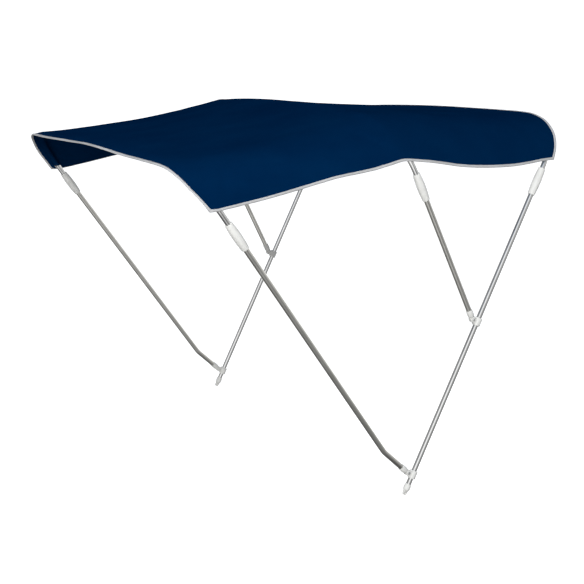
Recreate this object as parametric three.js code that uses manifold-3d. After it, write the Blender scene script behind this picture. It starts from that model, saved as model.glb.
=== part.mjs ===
// Three-bow bimini top: a navy cloth canopy with a grey bound edge, stretched over a folding frame of 22 mm
// aluminium tube with white nylon fittings.
// Millimetres. +Z is up, +X points from the low front edge to the rear edge, and the frame is mirrored about
// Y = 0. The origin is on the deck line, midway between the two foot pins.
import * as THREE from "three";
import { mergeVertices } from "three/addons/utils/BufferGeometryUtils.js";
import Module from "manifold-3d";

const wasm = await Module();
wasm.setup();

// Driving dimensions of the frame
const TUBE_R = 11;
const HALF_SPAN = 800; // from the middle plane to the leg tubes on each side
const CLEAR = 0.4; // between pieces that touch
const SOCKET_R = TUBE_R + 0.5; // every bore that takes a tube
const CUT_THROUGH = 60; // longer than any fitting is thick
const ROUND_SIDES = 16;
const TUBE_SIDES = 12;
const SIDES = [
  { name: "near", y: -HALF_SPAN, out: -1 },
  { name: "far", y: HALF_SPAN, out: 1 },
];

// Leans are degrees from upright, positive towards +X. Heights along a leg are measured from its lower pivot.
const MAIN_LEAN = 27.4;
const FRONT_LEAN = -35;
const MID_LEAN = -26.5;
const LOW_SLIDE_AT = 78;
const MID_SLIDE_AT = 728;
const MAIN_HEM_AT = 1412;
const FRONT_BEND = [-104, 191]; // where the front leg bends, in X and Z
const BEND_R = 90;
const FRONT_HEM_AFTER_BEND = 1202;
const MID_HEM_AT = 705;

// Fittings
const SLIDE = { r: 16, height: 32, jawReach: 27.5, jawR: 11.5, jawThick: 5, slotTo: 18.5 };
const LEG_END = { r: 13, tongueThick: 10, tongueR: 10.5, socketFrom: 15, socketTo: 45, tubeFrom: 20 };
const PIN = { r: 3, headR: 5.5, headThick: 3.2, nutR: 5.2, nutThick: 3.6, holeR: 3.5 };
const SLEEVE = { length: 112, endR: 13.4, middleR: 17, web: 20 };
const FOOT = { bulbR: 13.8, tongueR: 8.5, tongueThick: 9, bodyFrom: 8, bodyTo: 38, tubeFrom: 16 };
const SET_SCREW = { r: 2.8, length: 3, at: 25 };
const SCREW_FROM = TUBE_R + CLEAR;

// Cloth
const CLOTH_THICK = 2;
const CLOTH_GAP = 1; // between a bow tube and the cloth stretched over it
const CLOTH_OUT = TUBE_R + CLOTH_GAP + CLOTH_THICK / 2; // from a bow's centre line to the middle of the cloth
const NEAR_FLARE = 4; // how far each side flap stands out at its hem
const FAR_FLARE = 12;
const FAR_HEM_DROP = 24; // how much lower the far hem hangs over the front half
const POCKET = { thick: 1.2, flangeFrom: 14, flangeTo: 21, loopR: 13.4 };
const BINDING = { thick: 1.5, outerLeg: 17, innerLeg: 9, gap: 0.8 };

// Points across a cloth section, from the near hem to the far hem
const CORNER_STEPS = 9;
const CROWN_STEPS = 10;
const SPAN_STEPS = 9;

const rad = THREE.MathUtils.degToRad;
const leanDirection = (degrees) => ({ x: Math.sin(rad(degrees)), z: Math.cos(rad(degrees)) });
const along = (point, lean, distance) => {
  const d = leanDirection(lean);
  return [point[0] + d.x * distance, point[1] + d.z * distance];
};

// Side view points, as X and Z
const footPin = [0, 0];
const jawPivot = (at) => along(along(footPin, MAIN_LEAN, at), MAIN_LEAN - 90, SLIDE.jawReach);
const lowPivot = jawPivot(LOW_SLIDE_AT);
const midPivot = jawPivot(MID_SLIDE_AT);
const toeLean = THREE.MathUtils.radToDeg(
  Math.atan2(FRONT_BEND[0] - lowPivot[0], FRONT_BEND[1] - lowPivot[1]),
);
const frontHem = along(FRONT_BEND, FRONT_LEAN, FRONT_HEM_AFTER_BEND);
const midHem = along(midPivot, MID_LEAN, MID_HEM_AT);
const mainHem = along(footPin, MAIN_LEAN, MAIN_HEM_AT);

// One row for each bow. hem is the point where the bow's plane meets the side flaps, rise is from there to
// the crown tube, farFall is how much lower the crown is at its far end, cornerY and cornerS are the corner's
// radii across and along the bow's plane, camber is the crown's arch, sleeveGap is from the hem down to the
// leg sleeve and clothLean is the lean of the cloth's normal.
const BOWS = {
  front: {
    hem: frontHem, lean: FRONT_LEAN, rise: 180, farFall: 0, cornerY: 155, cornerS: 196, camber: 14,
    sleeveGap: 54, clothLean: -4,
  },
  mid: {
    hem: midHem, lean: MID_LEAN, rise: 182, farFall: 10, cornerY: 280, cornerS: 222, camber: 18,
    sleeveGap: 46, clothLean: -4.5,
  },
  main: {
    hem: mainHem, lean: MAIN_LEAN, rise: 184, farFall: 30, cornerY: 262, cornerS: 204, camber: 5,
    sleeveGap: 26, clothLean: 2,
  },
};

// The near hem's height over the deck line, read along X. It dips between the bows and peaks at the middle
// bow.
const HEM_LINE = [
  { x: -840, z: 1180 },
  { x: -793, z: 1174 },
  { x: -638, z: 1198 },
  { x: -447, z: 1233 },
  { x: -248, z: 1263 },
  { x: -109, z: 1285 },
  { x: -38, z: 1297 },
  { x: 0, z: 1296 },
  { x: 109, z: 1284 },
  { x: 186, z: 1269 },
  { x: 302, z: 1256 },
  { x: 462, z: 1250 },
  { x: 562, z: 1256 },
  { x: 628, z: 1263 },
  { x: 690, z: 1265 },
];
// sag is how far the crown drops halfway between two bows, and tuck how far the side flap draws in there.
const SPANS = [
  { from: "front", to: "mid", sag: 20, tuck: 7 },
  { from: "mid", to: "main", sag: 9, tuck: 4 },
];
// How far the cloth runs past the outer bows, at its crown and at its hems.
const FRONT_OVERHANG = { crown: 42, hem: 34, rise: -3 };
const REAR_OVERHANG = { crown: 33, hem: 31, rise: -2 };

const finish = (color, roughness, metalness) =>
  new THREE.MeshStandardMaterial({ color, roughness, metalness });
const navyCloth = finish(0x0a2344, 0.85, 0);
const greyTape = finish(0xc4c6c9, 0.75, 0);
const brightTube = finish(0xc9cacc, 0.28, 0.95);
const satinTube = finish(0x9c9d94, 0.5, 0.9);
const whiteNylon = finish(0xe6e7e4, 0.5, 0);
const steelScrew = finish(0x6e7073, 0.35, 0.95);

const bimini = new THREE.Group();
function addPiece(name, geometry, material, parent = bimini) {
  const mesh = new THREE.Mesh(geometry, material);
  mesh.name = name;
  parent.add(mesh);
  return mesh;
}

// Solids and geometries

function toSolid(geometry) {
  const bare = geometry.clone();
  bare.deleteAttribute("normal");
  bare.deleteAttribute("uv");
  const merged = mergeVertices(bare, 1e-4);
  return new wasm.Manifold(
    new wasm.Mesh({
      numProp: 3,
      vertProperties: merged.attributes.position.array,
      triVerts: new Uint32Array(merged.index.array),
    }),
  );
}

function toGeometry(solid) {
  const mesh = solid.getMesh();
  const geometry = new THREE.BufferGeometry();
  geometry.setAttribute("position", new THREE.BufferAttribute(mesh.vertProperties, 3));
  geometry.setIndex(new THREE.BufferAttribute(mesh.triVerts, 1));
  return geometry;
}

// A closed skin through equal rings of points, with a flat cap on each end. capShape is the ring laid flat.
function loft(rings, capShape) {
  const count = rings[0].length;
  const faces = [];
  for (let i = 0; i + 1 < rings.length; i++) {
    for (let j = 0; j < count; j++) {
      const next = (j + 1) % count;
      const a = i * count + j;
      const b = i * count + next;
      faces.push([a, b, b + count], [a, b + count, a + count]);
    }
  }
  const last = (rings.length - 1) * count;
  const turnsBack = THREE.ShapeUtils.isClockWise(capShape);
  for (const triangle of THREE.ShapeUtils.triangulateShape(capShape, [])) {
    const [a, b, c] = turnsBack ? triangle.toReversed() : triangle;
    faces.push([c, b, a], [last + a, last + b, last + c]);
  }
  return facingOut(rings.flat(), faces);
}

// A geometry from points and triangles, turned round if its faces point inwards.
function facingOut(points, faces) {
  let volume = 0;
  for (const [a, b, c] of faces) {
    volume += points[a].dot(new THREE.Vector3().crossVectors(points[b], points[c]));
  }
  const order = volume < 0 ? faces.map(([a, b, c]) => [a, c, b]) : faces;
  const geometry = new THREE.BufferGeometry().setFromPoints(points);
  geometry.setIndex(order.flat());
  return geometry;
}

// A lathed shape about Z from a profile of radius and height that starts and ends on the axis.
function turned(profile, sides = ROUND_SIDES) {
  const points = profile.map(([r, z]) => new THREE.Vector2(r, z));
  return new THREE.LatheGeometry(points, sides).rotateX(Math.PI / 2);
}

// A plate whose outline lies in X and Z, centred on the plane Y = 0.
function plate(shape, thickness) {
  const geometry = new THREE.ExtrudeGeometry(shape, {
    depth: thickness, bevelEnabled: false, curveSegments: 8,
  });
  return geometry.translate(0, 0, -thickness / 2).rotateX(Math.PI / 2);
}

// A round tongue: a strip from z = 0 up to top, with a round end of radius r about the pin.
function tongueShape(r, top) {
  const shape = new THREE.Shape();
  shape.moveTo(r, top);
  shape.lineTo(-r, top);
  shape.lineTo(-r, 0);
  shape.absarc(0, 0, r, Math.PI, 2 * Math.PI, false);
  shape.lineTo(r, top);
  return shape;
}

const pinHole = () =>
  toSolid(new THREE.CylinderGeometry(PIN.holeR, PIN.holeR, CUT_THROUGH, TUBE_SIDES));

// Frame pieces, each drawn upright along Z with its pin at the origin

function footSolid() {
  const { bulbR, bodyFrom, bodyTo, tongueR, tongueThick, tubeFrom } = FOOT;
  const body = toSolid(
    turned([
      [0, bodyFrom], [tongueR - 2, bodyFrom], [bulbR - 2, bodyFrom + 5], [bulbR, bodyFrom + 12],
      [bulbR - 1, bodyTo - 6], [bulbR - 2, bodyTo], [0, bodyTo],
    ]),
  );
  const tongue = toSolid(plate(tongueShape(tongueR, bodyFrom + 6), tongueThick));
  const socket = toSolid(
    new THREE.CylinderGeometry(SOCKET_R, SOCKET_R, bodyTo, ROUND_SIDES)
      .rotateX(Math.PI / 2)
      .translate(0, 0, bodyTo / 2 + tubeFrom - CLEAR),
  );
  const screwHole = toSolid(
    new THREE.CylinderGeometry(SET_SCREW.r + CLEAR, SET_SCREW.r + CLEAR, SET_SCREW.length, 8)
      .rotateZ(Math.PI / 2)
      .translate(SCREW_FROM + SET_SCREW.length / 2 - CLEAR, 0, SET_SCREW.at),
  );
  return body.add(tongue).subtract(pinHole()).subtract(socket).subtract(screwHole);
}

function slideSolid() {
  const { r, height, jawReach, jawR, jawThick, slotTo } = SLIDE;
  const ring = toSolid(
    turned([
      [0, -height / 2], [r - 2, -height / 2], [r, -height / 2 + 2],
      [r, height / 2 - 2], [r - 2, height / 2], [0, height / 2],
    ]),
  );
  // The jaws point towards -X, square to the tube, on both sides of the leg end's tongue.
  const gap = LEG_END.tongueThick + 2 * CLEAR;
  const slot = new THREE.BoxGeometry(CUT_THROUGH, gap, CUT_THROUGH).translate(0, 0, slotTo - CUT_THROUGH / 2);
  const jaws = toSolid(plate(tongueShape(jawR, jawReach), gap + 2 * jawThick))
    .subtract(toSolid(slot))
    .subtract(pinHole());
  const turnedJaws = jaws.rotate([0, 90, 0]).translate([-jawReach, 0, 0]);
  const bore = toSolid(
    new THREE.CylinderGeometry(SOCKET_R, SOCKET_R, CUT_THROUGH, ROUND_SIDES).rotateX(Math.PI / 2),
  );
  return ring.add(turnedJaws).subtract(bore);
}

function legEndSolid() {
  const { r, tongueThick, tongueR, socketFrom, socketTo, tubeFrom } = LEG_END;
  const socket = toSolid(
    turned([
      [0, socketFrom], [tongueR - 1, socketFrom], [r, socketFrom + 4],
      [r, socketTo - 1.5], [r - 1.2, socketTo], [0, socketTo],
    ]),
  );
  const tongue = toSolid(plate(tongueShape(tongueR, socketFrom + 4), tongueThick));
  const tubeHole = toSolid(
    new THREE.CylinderGeometry(SOCKET_R, SOCKET_R, socketTo, ROUND_SIDES)
      .rotateX(Math.PI / 2)
      .translate(0, 0, socketTo / 2 + tubeFrom - CLEAR),
  );
  return socket.add(tongue).subtract(pinHole()).subtract(tubeHole);
}

// The pivot bolt lies along Y: its head is on the outer side and its nut on the inner one.
function pinGeometry() {
  const half = LEG_END.tongueThick / 2 + CLEAR + SLIDE.jawThick + CLEAR;
  const { r, headR, headThick, nutR, nutThick } = PIN;
  return turned(
    [
      [0, -half - nutThick], [nutR, -half - nutThick], [nutR, -half], [r, -half], [r, half], [headR, half],
      [headR - 0.8, half + headThick], [0, half + headThick],
    ],
    10,
  ).rotateX(-Math.PI / 2);
}

// A barrel sleeve about its own middle, with a socket for a tube at each end.
function sleeveGeometry() {
  const { length, endR, middleR, web } = SLEEVE;
  const half = length / 2;
  return turned([
    [0, -web / 2], [SOCKET_R, -web / 2], [SOCKET_R, -half], [endR, -half], [middleR - 0.9, -half * 0.45],
    [middleR, 0],
    [middleR - 0.9, half * 0.45], [endR, half], [SOCKET_R, half], [SOCKET_R, web / 2], [0, web / 2],
  ]);
}

// Placing pieces on the legs

function place(mesh, point, lean, y) {
  mesh.position.set(point[0], y, point[1]);
  mesh.rotation.y = rad(lean);
  return mesh;
}

function straightTube(name, material, from, to, y) {
  const length = Math.hypot(to[0] - from[0], to[1] - from[1]);
  const lean = THREE.MathUtils.radToDeg(Math.atan2(to[0] - from[0], to[1] - from[1]));
  const geometry = new THREE.CylinderGeometry(TUBE_R, TUBE_R, length, TUBE_SIDES)
    .rotateX(Math.PI / 2)
    .translate(0, 0, length / 2);
  return place(addPiece(name, geometry, material), from, lean, y);
}

// The front leg: a short toe, a bend and the long straight, as one tube along a path.
function frontLegTube(name, y, upperEnd) {
  const toeStart = along(lowPivot, toeLean, LEG_END.tubeFrom);
  const half = BEND_R * Math.tan(rad((FRONT_LEAN - toeLean) / 2));
  const beforeBend = along(FRONT_BEND, toeLean, -half);
  const afterBend = along(FRONT_BEND, FRONT_LEAN, half);
  const at = ([x, z]) => new THREE.Vector3(x, y, z);
  const bend = new THREE.QuadraticBezierCurve3(at(beforeBend), at(FRONT_BEND), at(afterBend));
  const stops = [at(toeStart), ...bend.getPoints(4), at(upperEnd)];
  return addPiece(name, tubeThrough(stops, new THREE.Vector3(0, 1, 0)), satinTube);
}

// A round tube through a list of stops that all lie in one plane with the given normal.
function tubeThrough(stops, planeNormal) {
  const rings = stops.map((stop, i) => {
    const before = stops[Math.max(i - 1, 0)];
    const after = stops[Math.min(i + 1, stops.length - 1)];
    const inbound = stop.clone().sub(before).normalize();
    const outbound = after.clone().sub(stop).normalize();
    const tangent = inbound.clone().add(outbound).normalize();
    const inPlane = new THREE.Vector3().crossVectors(planeNormal, tangent);
    const turn = i > 0 && i < stops.length - 1 ? inbound.dot(tangent) : 1;
    const acrossPlane = planeNormal.clone().multiplyScalar(TUBE_R);
    return circleRing(stop, inPlane.multiplyScalar(TUBE_R / turn), acrossPlane);
  });
  return loft(rings, unitCircle());
}

function unitCircle() {
  return Array.from({ length: TUBE_SIDES }, (_, i) => {
    const angle = (2 * Math.PI * i) / TUBE_SIDES;
    return new THREE.Vector2(Math.cos(angle), Math.sin(angle));
  });
}

function circleRing(centre, armA, armB) {
  return unitCircle().map(({ x, y }) => centre.clone().addScaledVector(armA, x).addScaledVector(armB, y));
}

// Bows

// Half of a bow as steps from a bottom end to the middle, in Y and distance along the bow's plane, with the
// outward normal of the tube there. The corner is a quarter ellipse that the bottom end may cut short.
function bowSteps(bow, bottom, side) {
  const inner = HALF_SPAN - bow.cornerY;
  const fall = side > 0 ? bow.farFall : 0;
  const cornerFoot = bow.rise - bow.cornerS;
  const reach = bow.cornerS - fall;
  const start = Math.asin(THREE.MathUtils.clamp((bottom - cornerFoot) / reach, 0, 1));
  const steps = [];
  for (let i = 0; i <= CORNER_STEPS; i++) {
    const angle = THREE.MathUtils.lerp(start, Math.PI / 2, i / CORNER_STEPS);
    const normal = new THREE.Vector2(Math.cos(angle) / bow.cornerY, Math.sin(angle) / reach).normalize();
    steps.push({
      y: side * (inner + bow.cornerY * Math.cos(angle)),
      s: i === 0 ? bottom : cornerFoot + reach * Math.sin(angle),
      normalY: side * normal.x,
      normalS: normal.y,
    });
  }
  for (let i = 1; i <= CROWN_STEPS / 2; i++) {
    const y = side * inner * (1 - (2 * i) / CROWN_STEPS);
    const arch = bow.camber * (1 - (y / inner) ** 2) - bow.farFall * ((y + inner) / (2 * inner)) ** 2;
    steps.push({ y, s: bow.rise + arch, normalY: 0, normalS: 1 });
  }
  return steps;
}

// How far up its plane a bow meets the hem line on one side.
const hemCut = (bow, side) => (hemHeight(bow.hem[0], side) - bow.hem[1]) / Math.cos(rad(bow.lean));

// The steps of a bow from end to end, the near side (-Y) first. It starts at the hems, or lower at a given
// bottom.
function wholeBow(bow, bottom = null) {
  const [near, far] = [-1, 1].map((side) => {
    const cut = hemCut(bow, side);
    const below = bottom === null ? [] : [bottom, bow.rise - bow.cornerS].filter((s) => s < cut - 3);
    return [...below.map((s) => ({ y: side * HALF_SPAN, s })), ...bowSteps(bow, cut, side)];
  });
  return [...near, ...far.toReversed().slice(1)];
}

function bowPoint(bow, y, s) {
  const [x, z] = along(bow.hem, bow.lean, s);
  return new THREE.Vector3(x, y, z);
}

// The bow tube shares the cloth's steps above the hem, and runs on down into the leg sleeves.
function bowTube(name, bow) {
  const bottom = SLEEVE.web / 2 + CLEAR - bow.sleeveGap - SLEEVE.length / 2;
  const stops = wholeBow(bow, bottom).map((p) => bowPoint(bow, p.y, p.s));
  const d = leanDirection(bow.lean);
  return addPiece(name, tubeThrough(stops, new THREE.Vector3(d.z, 0, -d.x)), brightTube);
}

// The cloth surface

// The hem's height at x. The far hem hangs lower towards the front.
function hemHeight(x, side) {
  const last = HEM_LINE.length - 1;
  const i = Math.min(Math.max(HEM_LINE.findIndex((row) => row.x > x) - 1, 0), last - 1);
  const slope = (k) => {
    const a = HEM_LINE[Math.max(k - 1, 0)];
    const b = HEM_LINE[Math.min(k + 1, last)];
    return (b.z - a.z) / (b.x - a.x);
  };
  const [a, b] = [HEM_LINE[i], HEM_LINE[i + 1]];
  const span = b.x - a.x;
  const t = THREE.MathUtils.clamp((x - a.x) / span, 0, 1);
  const [t2, t3] = [t * t, t * t * t];
  const drop = side > 0 ? FAR_HEM_DROP * THREE.MathUtils.smoothstep(-x, 0, 450) : 0;
  return (
    (2 * t3 - 3 * t2 + 1) * a.z + (t3 - 2 * t2 + t) * span * slope(i)
    + (3 * t2 - 2 * t3) * b.z + (t3 - t2) * span * slope(i + 1) - drop
  );
}

// The middle of the cloth where it runs over a bow, from hem to hem.
function clothOverBow(bow) {
  const up = leanDirection(bow.clothLean);
  return wholeBow(bow).map((p) => {
    const point = bowPoint(bow, p.y, p.s);
    return point.add(
      new THREE.Vector3(up.x * p.normalS, p.normalY, up.z * p.normalS).multiplyScalar(CLOTH_OUT),
    );
  });
}

// Moves the two flaps of a section so that their ends lie on the hem line, flared. The move fades out up the
// corner.
function settleHems(section) {
  const last = section.length - 1;
  for (const [end, step, side] of [[0, 1, -1], [last, -1, 1]]) {
    const fall = hemHeight(section[end].x, side) - section[end].z;
    const flare = side < 0 ? NEAR_FLARE : FAR_FLARE;
    for (let k = 0; k < CORNER_STEPS; k++) {
      const share = (1 - k / CORNER_STEPS) ** 2;
      section[end + step * k].z += fall * share;
      section[end + step * k].y += side * flare * share;
    }
  }
}

// 1 over the crown, and falling to 0 at the hems.
function crownShare(i, last) {
  return THREE.MathUtils.smoothstep(Math.min(i, last - i), 0, CORNER_STEPS);
}

// The outer bow's section carried past the bow by part of the overhang. outward is -1 at the front and 1 at
// the rear.
function overhangSection(section, { crown, hem, rise }, outward, share) {
  return section.map((point, i) => {
    const fromHem = Math.min(i, section.length - 1 - i);
    const reach = THREE.MathUtils.lerp(hem, crown, THREE.MathUtils.smoothstep(fromHem, 0, 3));
    return new THREE.Vector3(point.x + outward * reach * share, point.y, point.z + rise * share);
  });
}

function spanSection(from, to, t, { sag, tuck }) {
  const belly = 4 * t * (1 - t);
  return from.map((point, i) => {
    const p = point.clone().lerp(to[i], t);
    const share = crownShare(i, from.length - 1);
    p.z -= sag * belly * share;
    p.y -= Math.sign(p.y) * tuck * belly * (1 - share);
    return p;
  });
}

// Every section from the front edge to the rear edge. Each knows its bow and its distance from it, where it
// is close to one.
function clothSections() {
  const over = Object.fromEntries(Object.entries(BOWS).map(([name, bow]) => [name, clothOverBow(bow)]));
  const { flangeFrom, flangeTo } = POCKET;
  const rows = [];
  for (const distance of [FRONT_OVERHANG.crown, flangeTo, flangeFrom]) {
    const points = overhangSection(over.front, FRONT_OVERHANG, -1, distance / FRONT_OVERHANG.crown);
    rows.push({ bow: "front", at: -distance, points });
  }
  for (const span of SPANS) {
    const [from, to] = [over[span.from], over[span.to]];
    const middle = (from.length - 1) / 2;
    const reach = from[middle].distanceTo(to[middle]);
    for (const distance of [0, flangeFrom, flangeTo]) {
      rows.push({ bow: span.from, at: distance, points: spanSection(from, to, distance / reach, span) });
    }
    for (let i = 1; i < SPAN_STEPS; i++) {
      const t = THREE.MathUtils.lerp(flangeTo / reach, 1 - flangeTo / reach, i / SPAN_STEPS);
      rows.push({ bow: null, at: 0, points: spanSection(from, to, t, span) });
    }
    for (const distance of [flangeTo, flangeFrom]) {
      rows.push({ bow: span.to, at: -distance, points: spanSection(from, to, 1 - distance / reach, span) });
    }
  }
  for (const distance of [0, flangeFrom, flangeTo, REAR_OVERHANG.crown]) {
    const points = overhangSection(over.main, REAR_OVERHANG, 1, distance / REAR_OVERHANG.crown);
    rows.push({ bow: "main", at: distance, points });
  }
  rows.forEach((row) => settleHems(row.points));
  return rows;
}

const sections = clothSections();
const grid = sections.map((row) => row.points);
const columns = grid.length;
const across = grid[0].length;

// The cloth's outward normal at each grid point, from its neighbours.
const normals = grid.map((section, i) =>
  section.map((_, j) => {
    const alongX = grid[Math.min(i + 1, columns - 1)][j].clone().sub(grid[Math.max(i - 1, 0)][j]);
    const alongY = grid[i][Math.min(j + 1, across - 1)].clone().sub(grid[i][Math.max(j - 1, 0)]);
    return new THREE.Vector3().crossVectors(alongX, alongY).normalize();
  }),
);
const lifted = (i, j, height) => grid[i][j].clone().addScaledVector(normals[i][j], height);

function clothGeometry() {
  const points = [];
  for (const height of [CLOTH_THICK / 2, -CLOTH_THICK / 2]) {
    for (let i = 0; i < columns; i++) {
      for (let j = 0; j < across; j++) points.push(lifted(i, j, height));
    }
  }
  const layer = columns * across;
  const top = (i, j) => i * across + j;
  const faces = [];
  for (let i = 0; i + 1 < columns; i++) {
    for (let j = 0; j + 1 < across; j++) {
      const [a, b, c, d] = [top(i, j), top(i + 1, j), top(i + 1, j + 1), top(i, j + 1)];
      // Each quad is split the same way on both faces, and mirrored about the middle of the canopy.
      const split = j < (across - 1) / 2 ? [[a, b, c], [a, c, d]] : [[a, b, d], [b, c, d]];
      for (const [p, q, r] of split) {
        faces.push([p, q, r], [r + layer, q + layer, p + layer]);
      }
    }
  }
  const rim = [];
  for (let i = 0; i + 1 < columns; i++) {
    rim.push([top(i + 1, 0), top(i, 0)], [top(i, across - 1), top(i + 1, across - 1)]);
  }
  for (let j = 0; j + 1 < across; j++) {
    rim.push([top(0, j), top(0, j + 1)], [top(columns - 1, j + 1), top(columns - 1, j)]);
  }
  for (const [a, b] of rim) {
    faces.push([a, b, b + layer], [a, b + layer, a + layer]);
  }
  return facingOut(points, faces);
}

// Pockets

const columnAt = (bow, distance) =>
  sections.findIndex((row) => row.bow === bow && Math.abs(row.at - distance) < 0.5);

// A strip sewn under the cloth on both sides of a bow, looping below the tube.
function pocketGeometry(bowName) {
  const bow = BOWS[bowName];
  const { thick, flangeFrom, flangeTo, loopR } = POCKET;
  const [frontOuter, frontInner, aftInner, aftOuter] = [-flangeTo, -flangeFrom, flangeFrom, flangeTo].map(
    (d) => columnAt(bowName, d),
  );
  const up = leanDirection(bow.clothLean);
  const flangeDrop = CLOTH_THICK / 2 + CLEAR;
  const loopAngles = [180, 240, 300, 360].map(rad);
  const steps = wholeBow(bow);
  const rings = [];
  let capShape;
  for (let j = 1; j < across - 1; j++) {
    const p = steps[j];
    const centre = bowPoint(bow, p.y, p.s);
    const out = new THREE.Vector3(up.x * p.normalS, p.normalY, up.z * p.normalS).normalize();
    const before = steps[j - 1];
    const after = steps[j + 1];
    const tangent = bowPoint(bow, after.y, after.s).sub(bowPoint(bow, before.y, before.s)).normalize();
    const fore = new THREE.Vector3().crossVectors(tangent, out).normalize();
    const onLoop = (angle, r) =>
      centre.clone().addScaledVector(fore, r * Math.cos(angle)).addScaledVector(out, r * Math.sin(angle));
    const inner = [
      lifted(frontOuter, j, -flangeDrop),
      lifted(frontInner, j, -flangeDrop),
      ...loopAngles.map((angle) => onLoop(angle, loopR)),
      lifted(aftInner, j, -flangeDrop),
      lifted(aftOuter, j, -flangeDrop),
    ];
    const outer = [
      lifted(aftOuter, j, -flangeDrop - thick),
      lifted(aftInner, j, -flangeDrop - thick).addScaledVector(fore, thick),
      ...loopAngles.toReversed().map((angle) => onLoop(angle, loopR + thick)),
      lifted(frontInner, j, -flangeDrop - thick).addScaledVector(fore, -thick),
      lifted(frontOuter, j, -flangeDrop - thick),
    ];
    const ring = [...inner, ...outer];
    capShape ??= ring.map((point) => new THREE.Vector2(point.dot(fore), point.dot(out)));
    rings.push(ring);
  }
  return loft(rings, capShape);
}

// Binding

// A folded tape round the cloth's edge. Each stop has a point on the edge, the next grid point inwards, and
// the cloth's normals at both.
function bindingGeometry(stops) {
  const { thick, outerLeg, innerLeg, gap } = BINDING;
  const near = CLOTH_THICK / 2 + gap;
  const far = near + thick;
  const profile = [
    [outerLeg, near], [-gap, near], [-gap, -near], [innerLeg, -near],
    [innerLeg, -far], [-gap - thick * 0.6, -far + 0.3], [-gap - thick, 0], [-gap - thick * 0.6, far - 0.1],
    [outerLeg * 0.5, far + 0.5], [outerLeg, far - 0.4],
  ];
  const rings = stops.map(({ edge, inward, edgeNormal, inwardNormal }) => {
    const direction = inward.clone().sub(edge);
    const width = direction.length();
    direction.normalize();
    return profile.map(([w, n]) => {
      const normal = edgeNormal.clone().lerp(inwardNormal, Math.max(w, 0) / width).normalize();
      return edge.clone().addScaledVector(direction, w).addScaledVector(normal, n);
    });
  });
  return loft(rings, profile.map(([w, n]) => new THREE.Vector2(w, n)));
}

// The front and rear tapes run from hem to hem and stand past the cloth at both ends.
function endTape(column, inwardColumn) {
  const stops = grid[column].map((edge, j) => ({
    edge: edge.clone(),
    inward: grid[inwardColumn][j].clone(),
    edgeNormal: normals[column][j],
    inwardNormal: normals[inwardColumn][j],
  }));
  for (const [end, next] of [[0, 1], [across - 1, across - 2]]) {
    const outward = grid[column][end].clone().sub(grid[column][next]).normalize();
    stops[end].edge.addScaledVector(outward, BINDING.thick + CLEAR);
    stops[end].inward.addScaledVector(outward, BINDING.thick + CLEAR);
  }
  return bindingGeometry(stops);
}

// The side tapes run between the front and rear ones.
function sideTape(row, inwardRow) {
  const first = columnAt("front", -POCKET.flangeFrom);
  const last = columnAt("main", POCKET.flangeFrom);
  const stops = [];
  for (let i = first; i <= last; i++) {
    stops.push({
      edge: grid[i][row],
      inward: grid[i][inwardRow],
      edgeNormal: normals[i][row],
      inwardNormal: normals[i][inwardRow],
    });
  }
  return bindingGeometry(stops);
}

// Assembly

addPiece("canopy_cloth", clothGeometry(), navyCloth);
addPiece("binding_front", endTape(0, 1), greyTape);
addPiece("binding_rear", endTape(columns - 1, columns - 2), greyTape);
addPiece("binding_near", sideTape(0, 1), greyTape);
addPiece("binding_far", sideTape(across - 1, across - 2), greyTape);
for (const name of Object.keys(BOWS)) {
  addPiece(`pocket_${name}`, pocketGeometry(name), navyCloth);
  bowTube(`bow_${name}`, BOWS[name]);
}

const footGeometry = toGeometry(footSolid());
const slideGeometry = toGeometry(slideSolid());
const legEndGeometry = toGeometry(legEndSolid());
const barrel = sleeveGeometry();
const bolt = pinGeometry();

// A point above or below the middle of a bow's leg sleeve, along the bow's plane.
const onSleeve = (bow, distance) => along(bow.hem, bow.lean, distance - bow.sleeveGap - SLEEVE.length / 2);
const sleeveBottom = (bow) => onSleeve(bow, -SLEEVE.web / 2 - CLEAR);

for (const { name, y, out } of SIDES) {
  for (const [bowName, bow] of Object.entries(BOWS)) {
    place(addPiece(`sleeve_${bowName}_${name}`, barrel, whiteNylon), onSleeve(bow, 0), bow.lean, y);
  }
  const mainStart = along(footPin, MAIN_LEAN, FOOT.tubeFrom);
  straightTube(`leg_main_${name}`, brightTube, mainStart, sleeveBottom(BOWS.main), y);
  const midStart = along(midPivot, MID_LEAN, LEG_END.tubeFrom);
  straightTube(`leg_mid_${name}`, satinTube, midStart, sleeveBottom(BOWS.mid), y);
  frontLegTube(`leg_front_${name}`, y, sleeveBottom(BOWS.front));

  place(addPiece(`foot_${name}`, footGeometry, whiteNylon), footPin, MAIN_LEAN, y);
  const screw = new THREE.CylinderGeometry(SET_SCREW.r, SET_SCREW.r, SET_SCREW.length, 8)
    .rotateZ(Math.PI / 2)
    .translate(SCREW_FROM + SET_SCREW.length / 2 + CLEAR, 0, SET_SCREW.at);
  place(addPiece(`foot_screw_${name}`, screw, steelScrew), footPin, MAIN_LEAN, y);

  const joints = [
    { title: "low", at: LOW_SLIDE_AT, pivot: lowPivot, lean: toeLean },
    { title: "mid", at: MID_SLIDE_AT, pivot: midPivot, lean: MID_LEAN },
  ];
  for (const { title, at, pivot, lean } of joints) {
    const slide = addPiece(`slide_${title}_${name}`, slideGeometry, whiteNylon);
    place(slide, along(footPin, MAIN_LEAN, at), MAIN_LEAN, y);
    place(addPiece(`leg_end_${title}_${name}`, legEndGeometry, whiteNylon), pivot, lean, y);
    const pin = place(addPiece(`pivot_bolt_${title}_${name}`, bolt, steelScrew), pivot, 0, y);
    pin.rotation.set(0, 0, out > 0 ? 0 : Math.PI);
  }
}

export default bimini;
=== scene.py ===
# %% [markdown]
# # A three-bow bimini top
# A bimini top shades a boat's cockpit: a navy cloth is stretched over three bent tubes, the bows, and the bows
# stand on legs that fold together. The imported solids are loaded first, and each piece made below lies where its
# solid lies.

# %% Load the frame
import math

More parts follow.
